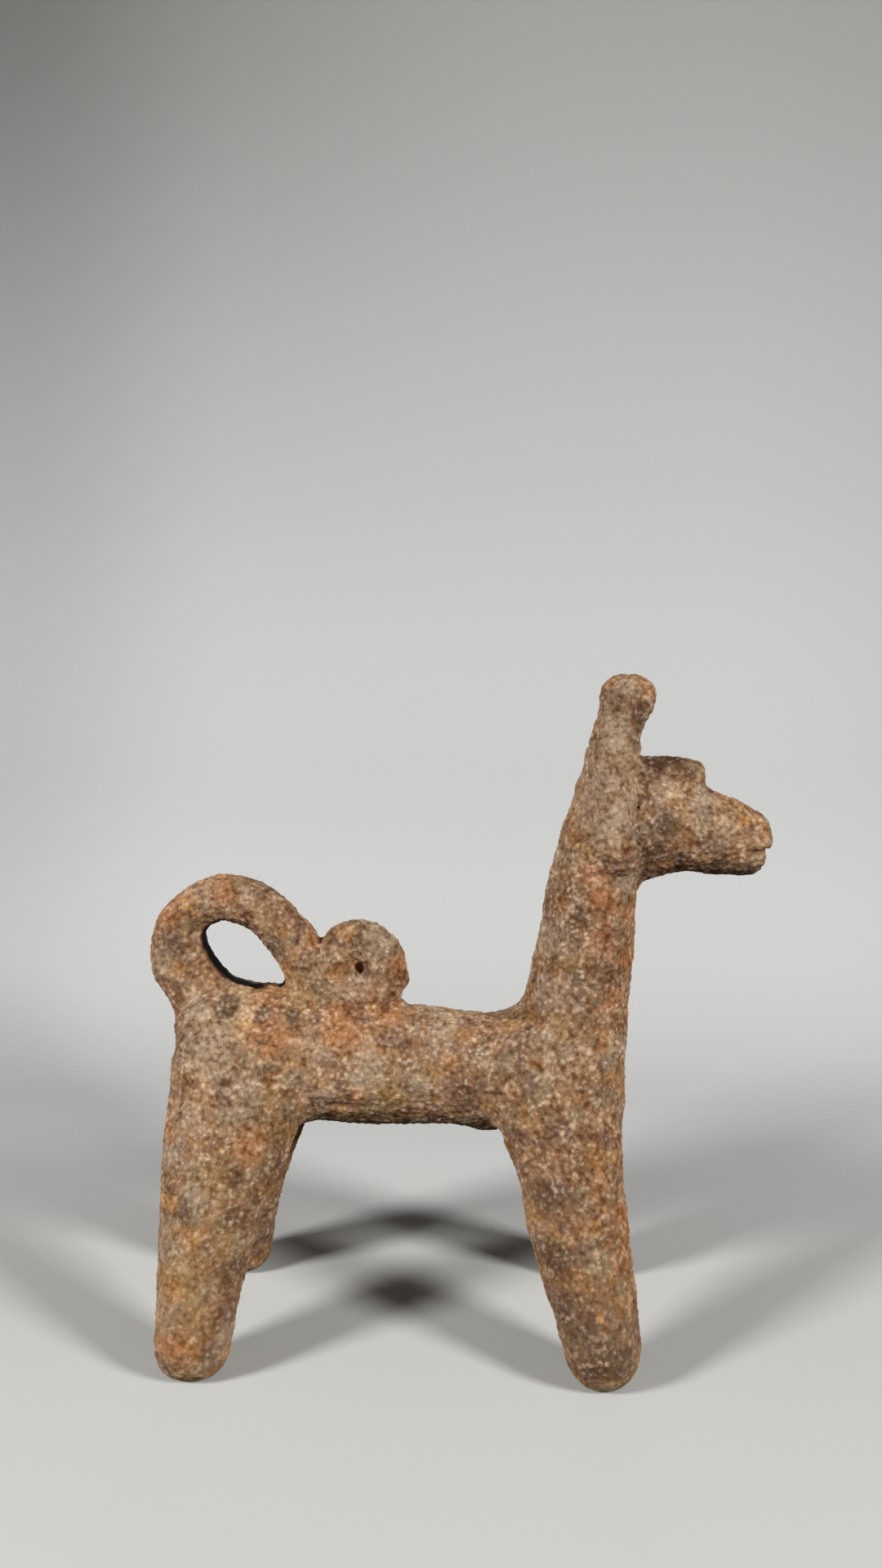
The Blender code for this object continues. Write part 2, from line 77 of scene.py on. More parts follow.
# The curl's eye: a small blind slit, squeezed and slanted from the pierced round one
EYE_PLACE = (-0.0288, 0.1105)
EYE_REACH = 0.0050
EYE_SQUEEZE = 0.40
EYE_SHORTEN = 0.22
EYE_SLANT = 0.15
EYE_FALL = 1.6
EYE_PLUG = (0.0030, 0.0020, 0.0030)

# Roughness of the hand and of the clay: size across, height and octaves
LUMPS = (
    (0.0300, 0.00080, 2),
    (0.0100, 0.00040, 2),
    (0.0040, 0.00028, 2),
)
LUMP_FALL = 1.0
LUMP_GAP = 2.0
LUMP_OFFSET = (17.3, 31.7, 53.9)
GRAIN_SIZE = 0.0018
GRAIN_HEIGHT = 0.00040
GRAIN_FALL = 1.4
GRAIN_MIDDLE = 0.5
RELIEF_SIZE = 0.0050
FOOT_FADE = 0.0080
FOOT_ROUGHNESS = 0.15

# Thumb marks on the outline: place (x, z), reach and depth, where a negative depth is a swelling
PRESS_FALL = 2
PRESSES = {
    "tail": (
        ((-0.078, 0.1365), 0.010, 0.0005),
        ((-0.047, 0.1275), 0.007, 0.0005),
        ((-0.087, 0.131), 0.010, 0.0009),
        ((-0.092, 0.113), 0.007, -0.0007),
        ((-0.089, 0.100), 0.005, 0.0012),
        ((-0.0755, 0.119), 0.005, 0.0013),
        ((-0.071, 0.107), 0.007, -0.0029),
        ((-0.060, 0.104), 0.008, 0.0004),
        ((-0.067, 0.126), 0.007, -0.0014),
        ((-0.056, 0.114), 0.010, -0.0006),
    ),
    "curl": (
        ((-0.015, 0.113), 0.008, 0.0006),
        ((-0.019, 0.121), 0.007, 0.0007),
        ((-0.0155, 0.1060), 0.003, -0.0010),
        ((-0.0170, 0.0995), 0.003, -0.0018),
    ),
    "trunk": (
        ((-0.025, 0.061), 0.008, -0.0004),
        ((-0.010, 0.098), 0.006, -0.0004),
        ((-0.040, 0.062), 0.008, 0.0016),
        ((-0.004, 0.062), 0.008, 0.0006),
        ((0.0085, 0.0605), 0.006, -0.0030),
        ((0.0125, 0.0610), 0.004, -0.0014),
        ((0.008, 0.0975), 0.012, 0.0006),
    ),
    "neck": (
        ((0.0545, 0.130), 0.014, 0.0006),
        ((0.0535, 0.112), 0.010, 0.0003),
        ((0.052, 0.100), 0.006, 0.0005),
        ((0.018, 0.100), 0.014, 0.0011),
        ((0.051, 0.0905), 0.007, -0.0017),
        ((0.0235, 0.113), 0.008, -0.0005),
        ((0.027, 0.125), 0.006, 0.0005),
        ((0.028, 0.137), 0.007, -0.0004),
        ((0.059, 0.139), 0.008, -0.0014),
        ((0.0315, 0.152), 0.008, -0.0006),
    ),
    "head": (
        ((0.086, 0.160), 0.010, -0.0011),
        ((0.091, 0.155), 0.005, -0.0005),
        ((0.092, 0.151), 0.004, -0.0003),
        ((0.0905, 0.1385), 0.004, 0.0013),
        ((0.091, 0.1425), 0.004, 0.0009),
        ((0.060, 0.1725), 0.006, 0.0004),
        ((0.0700, 0.1715), 0.004, -0.0009),
    ),
    "ears": (
        ((0.039, 0.178), 0.008, -0.0014),
        ((0.0345, 0.168), 0.004, 0.0004),
        ((0.056, 0.186), 0.005, -0.0006),
        ((0.041, 0.192), 0.005, -0.0008),
        ((0.040, 0.187), 0.006, -0.0005),
        ((0.054, 0.196), 0.004, 0.0003),
        ((0.046, 0.199), 0.005, 0.0004),
        ((0.0525, 0.176), 0.003, -0.0008),
        ((0.0350, 0.1656), 0.003, -0.0005),
        ((0.0362, 0.1725), 0.004, 0.0009),
        ((0.0382, 0.1775), 0.003, -0.0006),
    ),
    "legs": (
        ((0.022, 0.052), 0.012, 0.0008),
        ((0.046, 0.069), 0.010, -0.0012),
        ((0.0465, 0.081), 0.006, 0.0006),
        ((0.046, 0.058), 0.006, -0.0004),
        ((0.051, 0.025), 0.008, -0.0004),
        ((0.027, 0.025), 0.008, -0.0006),
        ((0.032, 0.013), 0.006, -0.0008),
        ((-0.086, 0.089), 0.007, 0.0021),
        ((-0.0855, 0.0955), 0.004, -0.0006),
        ((-0.083, 0.065), 0.008, -0.0005),
        ((-0.0865, 0.037), 0.010, 0.0008),
        ((-0.086, 0.026), 0.009, 0.0006),
        ((-0.062, 0.012), 0.008, -0.0008),
        ((-0.066, 0.003), 0.007, -0.0008),
        ((-0.081, 0.003), 0.006, -0.0010),
    ),
}

# Strokes of a stick or nail on both sides, and marks on the near side: width, depth and points (x, z)
STROKES = (
    (0.0008, 0.0013, ((0.0850, 0.1462), (0.0960, 0.1468))),
    (0.0009, 0.0008, ((0.0418, 0.1440), (0.0470, 0.1436), (0.0525, 0.1440))),
    (0.0013, 0.0007, ((0.0512, 0.1690), (0.0520, 0.1600), (0.0530, 0.1500))),
    (0.0008, 0.0006, ((0.0492, 0.1665), (0.0508, 0.1605))),
    (0.0008, 0.0006, ((0.0553, 0.1615), (0.0562, 0.1570))),
    (0.0010, 0.0007, ((-0.0412, 0.1215), (-0.0405, 0.1170), (-0.0412, 0.1110), (-0.0395, 0.1060))),
)
MARKS = (
    (0.0012, 0.0004, ((0.0180, 0.1010), (0.0260, 0.0965), (0.0340, 0.0950), (0.0410, 0.0965))),
    (0.0009, 0.0006, ((-0.0815, 0.0545), (-0.0710, 0.0555), (-0.0600, 0.0540))),
    (0.0009, 0.0007, ((-0.0785, 0.0780), (-0.0790, 0.0720), (-0.0805, 0.0670))),
    (0.0012, 0.0003, ((-0.0360, 0.0735), (-0.0300, 0.0728), (-0.0245, 0.0735))),
)
MARK_FADE = 0.004

# Parting, and the flat map of each piece
SETTLE_ROUNDS = 12
SETTLE_SIDES = 3
SEAM_ROUNDS = 10
SEAM_SHARE = 0.5
CAP_RINGS = 8
CAP_NORMAL = (0.0, 0.0, 1.0)
MAP_NAME = "OFBake"
MAP_ANGLE = math.radians(66)
MAP_MARGIN = 0.003


def solid(name):
    """Points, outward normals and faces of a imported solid, with its split corners welded."""
    bm = bmesh.new()
    bm.from_mesh(frame["nodes"][name].data)
    bmesh.ops.remove_doubles(bm, verts=bm.verts, dist=WELD)
    bm.normal_update()
    bm.verts.index_update()
    points = np.array([vertex.co for vertex in bm.verts])
    normals = np.array([vertex.normal for vertex in bm.verts])
    faces = [[vertex.index for vertex in face.verts] for face in bm.faces]
    bm.free()
    return points, normals, faces


def melted(solids):
    """One skin of even quads round all the swollen solids, as points and quads."""
    points = []
    faces = []
    for solid_points, normals, solid_faces in solids:
        first = len(points)
        points.extend(solid_points + SWELL * normals)
        faces.extend([first + corner for corner in face] for face in solid_faces)
    mesh = bpy.data.meshes.new("melted")
    mesh.from_pydata(points, [], faces)
    lump = bpy.data.objects.new("melted", mesh)
    bpy.context.scene.collection.objects.link(lump)
    melt = lump.modifiers.new("melt", "REMESH")
    melt.mode = "VOXEL"
    melt.voxel_size = VOXEL
    skin = bpy.data.meshes.new_from_object(lump.evaluated_get(bpy.context.evaluated_depsgraph_get()))
    points = np.empty(3 * len(skin.vertices))
    skin.vertices.foreach_get("co", points)
    quads = np.empty(len(skin.loops), int)
    skin.loops.foreach_get("vertex_index", quads)
    bpy.data.objects.remove(lump)
    bpy.data.meshes.remove(mesh)
    bpy.data.meshes.remove(skin)
    return largest_skin(points.reshape(-1, 3), quads.reshape(-1, 4))


def largest_skin(points, quads):
    """The skin without the specks that melting leaves inside it."""
    group = np.arange(len(points))
    while True:
        lowest = group[quads].min(axis=1)
        joined = group.copy()
        for corner in range(4):
            np.minimum.at(joined, quads[:, corner], lowest)
        joined = joined[joined]
        if np.array_equal(joined, group):
            break
        group = joined
    main = np.bincount(group).argmax()
    kept = group == main
    number = np.cumsum(kept) - 1
    return points[kept], number[quads[kept[quads[:, 0]]]]


def edges_of(quads):
    """Each side of the quads once, as a pair of points."""
    sides = np.concatenate([quads[:, [corner, (corner + 1) % 4]] for corner in range(4)])
    return np.unique(np.sort(sides, axis=1), axis=0)


def normals_of(points, quads):
    """The outward normal at each point, weighted by the size of the quads round it."""
    a, b, c, d = (points[quads[:, corner]] for corner in range(4))
    across = np.cross(c - a, d - b)
    total = np.zeros_like(points)
    for corner in range(4):
        np.add.at(total, quads[:, corner], across)
    return total / np.linalg.norm(total, axis=1, keepdims=True)


def smoothed(points, edges, weight, rounds):
    """Each point drawn to the middle of its neighbours, by its own weight."""
    near, far = edges.T
    count = np.bincount(edges.ravel(), minlength=len(points))
    for _ in range(rounds):
        middle = np.empty_like(points)
        for axis in range(3):
            total = np.bincount(near, points[far, axis], len(points))
            total += np.bincount(far, points[near, axis], len(points))
            middle[:, axis] = total / count
        points = points + weight[:, None] * (middle - points)
    return points


def gaps_to(solids, points):
    """How far each point is from each solid, up to FAR."""
    gaps = np.full((len(points), len(NODES)), FAR)
    for column, name in enumerate(NODES):
        solid_points, _, faces = solids[name]
        tree = BVHTree.FromPolygons(solid_points.tolist(), faces)
        low = solid_points.min(axis=0) - FAR
        high = solid_points.max(axis=0) + FAR
        for row in np.nonzero(np.all((points > low) & (points < high), axis=1))[0]:
            found = tree.find_nearest(points[row], FAR)
            if found[3] is not None:
                gaps[row, column] = found[3]
    return gaps


def smear_of(name):
    """How far this piece is smeared from a joint."""
    return next(reach for kind, reach in SMEARS.items() if name.startswith(kind))


def joint_weight(gaps):
    """1 on a joint's line, falling to 0 where its smear ends."""
    reach = np.array([smear_of(name) for name in NODES])
    order = np.argsort(gaps, axis=1)[:, :2]
    width = np.minimum(reach[order[:, 0]], reach[order[:, 1]])
    second = np.take_along_axis(gaps, order[:, 1:], axis=1)[:, 0]
    return np.clip(1 - second / width, 0, 1)


def eye_plug():
    """A lump that stops the curl's eye half way in, in the form of a solid."""
    bm = bmesh.new()
    bmesh.ops.create_icosphere(bm, subdivisions=2, radius=1.0)
    points = np.array([vertex.co for vertex in bm.verts])
    faces = [[vertex.index for vertex in face.verts] for face in bm.faces]
    bm.free()
    return points * EYE_PLUG + np.array([EYE_PLACE[0], 0, EYE_PLACE[1]]), points, faces


def eye_drawn(points):
    """The curl's round eye, squeezed to its slit."""
    across, up = (points[:, [0, 2]] - np.array(EYE_PLACE)).T
    share = np.clip(EYE_FALL * (1 - np.hypot(across, up) / EYE_REACH), 0, 1)
    points = points.copy()
    points[:, 0] -= share * (EYE_SQUEEZE * across + EYE_SLANT * up)
    points[:, 2] -= share * EYE_SHORTEN * up
    return points


def pressed(points, normals):
    """The outline nudged in and out, as thumbs leave it."""
    depth = np.zeros(len(points))
    for presses in PRESSES.values():
        for place, reach, amount in presses:
            off = np.linalg.norm(points[:, [0, 2]] - np.array(place), axis=1) / reach
            depth += amount * np.exp(-PRESS_FALL * off * off)
    depth *= 1 - normals[:, 1] ** 2
    return points - depth[:, None] * normals


def eased(value, low, high):
    """0 at low, 1 at high and smooth between."""
    share = np.clip((value - low) / (high - low), 0, 1)
    return share * share * (3 - 2 * share)


def stroke_distance(points, route):
    """How far each point is, seen from the side, from a stroke's route."""
    flat = points[:, [0, 2]]
    least = np.full(len(points), np.inf)
    for start, end in zip(np.array(route), np.array(route)[1:]):
        way = end - start
        along = np.clip((flat - start) @ way / (way @ way), 0, 1)
        least = np.minimum(least, np.linalg.norm(flat - start - along[:, None] * way, axis=1))
    return least


def carved(points, normals):
    """The skin with the strokes cut into both sides and the marks into the near one."""
    depth = np.zeros(len(points))
    near = eased(points[:, 1], MARK_FADE, -MARK_FADE)
    for strokes, share in ((STROKES, 1), (MARKS, near)):
        for width, amount, route in strokes:
            off = stroke_distance(points, route) / width
            depth = np.maximum(depth, share * amount * np.exp(-off * off))
    return points - depth[:, None] * normals


def fractal(points, size, octaves, seed):
    """Smooth noise from about -1 to 1, one number for each point."""
    places = (points / size + seed * np.array(LUMP_OFFSET)).tolist()
    return np.array([noise.fractal(place, LUMP_FALL, LUMP_GAP, octaves) for place in places])


def grains(points, size):
    """Height of round grains, 1 on top and 0 in the pits between."""
    places = (points / size).tolist()
    return np.array([1 - min(noise.voronoi(place)[0][0] * GRAIN_FALL, 1.0) for place in places])


def roughened(points, normals):
    """The skin with its lumps and grains, and how far each point then stands out of its surroundings."""
    height = np.zeros(len(points))
    relief = np.zeros(len(points))
    for seed, (size, amount, octaves) in enumerate(LUMPS):
        lump = amount * fractal(points, size, octaves, seed)
        height += lump
        if size < RELIEF_SIZE:
            relief += lump
    grain = GRAIN_HEIGHT * (grains(points, GRAIN_SIZE) - GRAIN_MIDDLE)
    height += grain
    relief += grain
    height *= np.clip(points[:, 2] / FOOT_FADE, FOOT_ROUGHNESS, 1)
    return points + height[:, None] * normals, relief


def neighbours(quads):
    """The four faces next to each face, across its sides."""
    count = len(quads)
    sides = np.sort(np.stack([quads, np.roll(quads, -1, axis=1)], axis=2), axis=2).reshape(-1, 2)
    key = sides[:, 0] * (quads.max() + 1) + sides[:, 1]
    order = np.argsort(key, kind="stable")
    first, second = order[0::2], order[1::2]
    beside = np.empty(4 * count, int)
    beside[first] = second // 4
    beside[second] = first // 4
    return beside.reshape(-1, 4)


def owners(gaps, quads):
    """The column of the solid that each face belongs to, in regions with no stray faces."""
    owner = gaps[quads].mean(axis=1).argmin(axis=1)
    beside = neighbours(quads)
    for _ in range(SETTLE_ROUNDS):
        around = owner[beside]
        for column in range(len(NODES)):
            owner = np.where((around == column).sum(axis=1) >= SETTLE_SIDES, column, owner)
    return owner


def seam_evened(points, quads, owner):
    """The lines between pieces with their steps smoothed out, along the skin."""
    beside = neighbours(quads)
    face, side = np.nonzero(owner[beside] != owner[:, None])
    seam = np.stack([quads[face, side], quads[face, (side + 1) % 4]], axis=1)
    seam = np.unique(np.sort(seam, axis=1), axis=0)
    on_seam = np.bincount(seam.ravel(), minlength=len(points))
    normals = normals_of(points, quads)
    plain = on_seam == 2
    for _ in range(SEAM_ROUNDS):
        total = np.zeros_like(points)
        np.add.at(total, seam[:, 0], points[seam[:, 1]])
        np.add.at(total, seam[:, 1], points[seam[:, 0]])
        shift = SEAM_SHARE * (total[plain] / 2 - points[plain])
        shift -= (shift * normals[plain]).sum(axis=1, keepdims=True) * normals[plain]
        points[plain] += shift
    return points


def rims(quads):
    """The open edges of a patch of skin, as closed loops of points in the order of its faces."""
    ahead = {}
    for corner in range(4):
        for a, b in zip(quads[:, corner].tolist(), quads[:, (corner + 1) % 4].tolist()):
            ahead[a, b] = True
    following = {a: b for a, b in ahead if (b, a) not in ahead}
    loops = []
    while following:
        start, point = following.popitem()
        loop = [start]
        while point != start:
            loop.append(point)
            point = following.pop(point)
        loops.append(loop)
    return loops


def capped(points, quads):
    """A patch of skin as a closed body: its own points first, then those of its caps, and all its faces."""
    used, local = np.unique(quads, return_inverse=True)
    quads = local.reshape(-1, 4)
    body = list(points[used])
    faces = quads.tolist()
    for loop in rims(quads):
        rim = np.array([body[point] for point in loop])
        centre = rim.mean(axis=0)
        ring = loop
        for step in range(1, CAP_RINGS):
            first = len(body)
            body.extend(rim + (centre - rim) * step / CAP_RINGS)
            inner = list(range(first, first + len(loop)))
            for i in range(len(loop)):
                j = (i + 1) % len(loop)
                faces.append([ring[j], ring[i], inner[i], inner[j]])
            ring = inner
        middle = len(body)
        body.append(centre)
        for i in range(len(loop)):
            faces.append([ring[(i + 1) % len(loop)], ring[i], middle])
    return used, np.array(body), faces


def lay_out(piece):
    """A flat map of the piece, made while its skin is smooth, so that it stays in few large islands."""
    bpy.context.view_layer.objects.active = piece
    piece.select_set(True)
    bpy.ops.object.mode_set(mode="EDIT")
    bpy.ops.mesh.select_all(action="SELECT")
    bpy.ops.uv.smart_project(angle_limit=MAP_ANGLE, island_margin=MAP_MARGIN)
    bpy.ops.object.mode_set(mode="OBJECT")
    piece.select_set(False)
    piece.data.uv_layers[0].name = MAP_NAME


def build_pieces():
    """The twelve pieces of clay, each on the solid that it replaces."""
    solids = {name: solid(name) for name in NODES}
    points, quads = melted([*solids.values(), eye_plug()])
    edges = edges_of(quads)
    gaps = gaps_to(solids, points)
    weight = joint_weight(gaps)
    points = smoothed(points, edges, EVEN_SHARE * weight, SMEAR_ROUNDS)
    points = smoothed(points, edges, np.full(len(points), EVEN_SHARE), EVEN_ROUNDS)
    owner = owners(gaps, quads)
    points = seam_evened(points, quads, owner)
    points = eye_drawn(points)
    normals = normals_of(points, quads)
    points = pressed(points - SHRINK * normals, normals)
    points = carved(points, normals_of(points, quads))
    layers = painted(points, normals_of(points, quads))
    smooth = points
    points, layers["relief"] = roughened(points, normals_of(points, quads))
    points[:, 2] = np.maximum(points[:, 2], 0)
    normals = normals_of(points, quads)
    pieces = {}
    for column, name in enumerate(NODES):
        patch = quads[owner == column]
        used, body, faces = capped(points, patch)
        mesh = bpy.data.meshes.new(name + "_clay")
        mesh.from_pydata(capped(smooth, patch)[1], [], faces)
        piece = bpy.data.objects.new(name + "_clay", mesh)
        bpy.context.scene.collection.objects.link(piece)
        lay_out(piece)
        mesh.vertices.foreach_set("co", body.ravel())
        mesh.update()
        mesh.shade_smooth()
        inner = len(body) - len(used)
        for layer, values in layers.items():
            attribute = mesh.attributes.new(layer, "FLOAT", "POINT")
            attribute.data.foreach_set("value", np.append(values[used], np.zeros(inner)))
        shading = np.concatenate([normals[used], np.tile(CAP_NORMAL, (inner, 1))])
        mesh.normals_split_custom_set_from_vertices(shading)
        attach(piece, "root")
        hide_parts(name)
        pieces[name] = piece
    return pieces


# Stains on the near side, some of them partly painted shade: place (x, z) and reach
STAINS = {
    "rust": (
        ((0.043, 0.133), 0.005),
        ((0.043, 0.121), 0.005),
        ((0.046, 0.104), 0.005),
        ((0.050, 0.128), 0.003),
        ((0.050, 0.115), 0.004),
        ((0.048, 0.046), 0.004),
        ((-0.033, 0.096), 0.008),
        ((-0.019, 0.098), 0.004),
        ((-0.052, 0.092), 0.007),
        ((-0.086, 0.127), 0.006),
        ((-0.028, 0.076), 0.003),
        ((-0.042, 0.119), 0.004),
        ((-0.016, 0.112), 0.004),
        ((-0.076, 0.012), 0.007),
        ((0.048, 0.036), 0.005),
        ((0.041, 0.056), 0.005),
        ((-0.058, 0.064), 0.006),
        ((-0.083, 0.067), 0.005),
        ((-0.059, 0.100), 0.006),
        ((-0.070, 0.134), 0.006),
    ),
    "glow": (
        ((-0.072, 0.040), 0.003),
        ((0.040, 0.046), 0.002),
        ((0.041, 0.023), 0.002),
        ((-0.036, 0.094), 0.004),
        ((-0.060, 0.096), 0.003),
        ((-0.077, 0.027), 0.005),
        ((-0.080, 0.048), 0.004),
        ((-0.079, 0.129), 0.005),
        ((0.083, 0.156), 0.003),
    ),
    "grey": (
        ((-0.072, 0.089), 0.010),
        ((-0.058, 0.077), 0.008),
        ((-0.025, 0.084), 0.008),
        ((-0.071, 0.052), 0.006),
        ((0.029, 0.120), 0.007),
        ((0.028, 0.106), 0.006),
        ((-0.022, 0.119), 0.006),
        ((-0.033, 0.103), 0.006),
        ((0.045, 0.181), 0.007),
        ((0.045, 0.157), 0.008),
        ((0.030, 0.091), 0.008),
        ((0.072, 0.159), 0.007),
        ((-0.010, 0.080), 0.007),
        ((-0.081, 0.061), 0.005),
        ((-0.077, 0.100), 0.004),
        ((0.047, 0.194), 0.006),
        ((0.031, 0.144), 0.005),
        ((-0.004, 0.096), 0.006),
        ((0.048, 0.090), 0.005),
        ((-0.083, 0.130), 0.004),
        ((0.061, 0.165), 0.005),
    ),
    # Partly dark stains, partly painted shade on the brow pad's flank, in the corner of the head and neck
    # and in the cup of the ear knob
    "dark": (
        ((0.003, 0.077), 0.005),
        ((0.057, 0.147), 0.005),
        ((0.060, 0.155), 0.004),
        ((-0.085, 0.117), 0.005),
        ((0.042, 0.010), 0.009),
        ((0.034, 0.022), 0.008),
        ((0.029, 0.037), 0.006),
        ((0.027, 0.052), 0.006),
        ((0.036, 0.128), 0.005),
        ((0.036, 0.112), 0.004),
        ((0.066, 0.143), 0.004),
        ((0.076, 0.142), 0.004),
        ((0.040, 0.169), 0.003),
        ((0.052, 0.187), 0.004),
        ((0.060, 0.1735), 0.003),
        ((0.064, 0.1720), 0.003),
        ((0.068, 0.1698), 0.003),
        ((0.038, 0.176), 0.003),
        ((-0.062, 0.030), 0.006),
        ((-0.061, 0.045), 0.005),
        ((-0.048, 0.068), 0.005),
        ((0.030, 0.135), 0.004),
    ),
    "ochre": (
        ((-0.074, 0.031), 0.007),
        ((-0.071, 0.020), 0.006),
        ((-0.066, 0.056), 0.006),
        ((-0.075, 0.003), 0.004),
        ((-0.064, 0.038), 0.004),
        ((-0.018, 0.076), 0.006),
        ((-0.050, 0.067), 0.005),
        ((-0.053, 0.078), 0.004),
        ((-0.064, 0.102), 0.005),
        ((-0.046, 0.100), 0.005),
        ((0.077, 0.155), 0.004),
        ((0.031, 0.095), 0.004),
        ((0.039, 0.083), 0.003),
        ((0.043, 0.005), 0.003),
        ((0.047, 0.023), 0.003),
        ((0.046, 0.164), 0.003),
        ((0.034, 0.115), 0.003),
    ),
    "pale": (
        ((0.045, 0.167), 0.007),
        ((0.039, 0.160), 0.005),
        ((0.048, 0.160), 0.005),
        ((0.044, 0.172), 0.006),
        ((0.043, 0.152), 0.004),
        ((0.046, 0.178), 0.004),
        ((-0.074, 0.133), 0.003),
        ((-0.088, 0.112), 0.005),
        ((0.027, 0.136), 0.003),
        ((-0.041, 0.090), 0.005),
        ((-0.038, 0.076), 0.004),
        ((-0.076, 0.071), 0.006),
        ((-0.082, 0.037), 0.005),
        ((-0.082, 0.020), 0.005),
        ((-0.081, 0.003), 0.005),
        ((0.043, 0.003), 0.003),
        ((-0.062, 0.014), 0.003),
        ((0.006, 0.068), 0.003),
        ((0.078, 0.153), 0.004),
        ((0.050, 0.138), 0.003),
        ((-0.067, 0.093), 0.006),
        ((-0.064, 0.103), 0.005),
    ),
    # Partly painted shade, most of all on the far hind leg, partly darker tone
    "shade": (
        ((0.055, 0.146), 0.004),
        ((0.071, 0.156), 0.004),
        ((-0.021, 0.121), 0.004),
        ((-0.052, 0.053), 0.005),
        ((-0.051, 0.033), 0.005),
        ((-0.044, 0.006), 0.008),
        ((-0.045, 0.022), 0.008),
        ((0.036, 0.065), 0.006),
        ((0.036, 0.051), 0.006),
        ((0.035, 0.032), 0.006),
        ((0.022, 0.069), 0.004),
        ((0.041, 0.013), 0.005),
        ((-0.067, 0.037), 0.003),
        ((-0.060, 0.057), 0.004),
        ((0.034, 0.121), 0.005),
        ((0.048, 0.093), 0.004),
        ((0.053, 0.188), 0.004),
        ((0.044, 0.192), 0.003),
        ((0.064, 0.173), 0.003),
        ((-0.031, 0.099), 0.003),
        ((0.045, 0.042), 0.006),
        ((0.045, 0.123), 0.005),
    ),
    "spot": (
        ((-0.068, 0.1005), 0.0030),
        ((-0.066, 0.1005), 0.0030),
        ((-0.056, 0.0990), 0.0025),
        ((-0.047, 0.0980), 0.0023),
        ((0.0435, 0.1437), 0.0014),
        ((0.0495, 0.1437), 0.0014),
    ),
    "block": (
        ((0.0385, 0.1402), 0.0030),
        ((0.0425, 0.1402), 0.0030),
        ((0.0420, 0.1357), 0.0032),
    ),
}
CRISP = ("spot", "block")
CRISP_POWER = 6
SOFT_POWER = 2
FAR_SHIFT = (0.013, -0.009)
FAR_FADE = (-0.004, 0.008)

# Painted shade inside the loop of the tail, by the way the skin faces, and on the undersides, where shade
# falls
HOLE_PLACE = (-0.063, 0.115)
HOLE_REACH = (0.0170, 0.0153)
HOLE_FACING = (0.74, 0.90)
HOLE_LEAN = 0.12
HOLE_DEPTH = (0.00384, 0.00240)
UNDER_FACING = (-0.55, -0.97)
UNDER_SHADE_SHARE = 0.3


def painted(points, normals):
    """How strongly each stain lies on each point, from 0 to 1, moved along on the far side, and how much
    painted shade lies in the loop of the tail and on the undersides.
    """
    layers = {}
    flat = points[:, [0, 2]] + eased(points[:, 1], *FAR_FADE)[:, None] * np.array(FAR_SHIFT)
    for layer, spots in STAINS.items():
        power = CRISP_POWER if layer in CRISP else SOFT_POWER
        clear = np.ones(len(points))
        for place, reach in spots:
            off = np.linalg.norm(flat - np.array(place), axis=1) / reach
            clear *= 1 - np.exp(-off**power)
        layers[layer] = 1 - clear
    # Painted shade in the tail's loop and on the undersides
    layers["painted_hole_underside_shade"] = hole_and_underside_shade(points, normals)
    return layers


def hole_and_underside_shade(points, normals):
    """How much painted shade darkens the clay inside the loop of the tail and on the undersides."""
    way = np.array(HOLE_PLACE) - points[:, [0, 2]]
    gap = np.linalg.norm(way, axis=1)
    inward = (way * normals[:, [0, 2]]).sum(axis=1) / gap
    inward += HOLE_LEAN * np.clip(way[:, 0] / gap, 0, 1)
    inside = eased(inward, *HOLE_FACING) * eased(gap, *HOLE_REACH)
    inside *= eased(np.abs(points[:, 1]), *HOLE_DEPTH)
    return np.maximum(inside, UNDER_SHADE_SHARE * eased(normals[:, 2], *UNDER_FACING))


# The middle of what noise gives, and the sockets of a mix of colours: share, first, second and result
NOISE_MIDDLE = (0.3, 0.7)
MIX_INPUTS = (0, 6, 7)
MIX_RESULT = 2


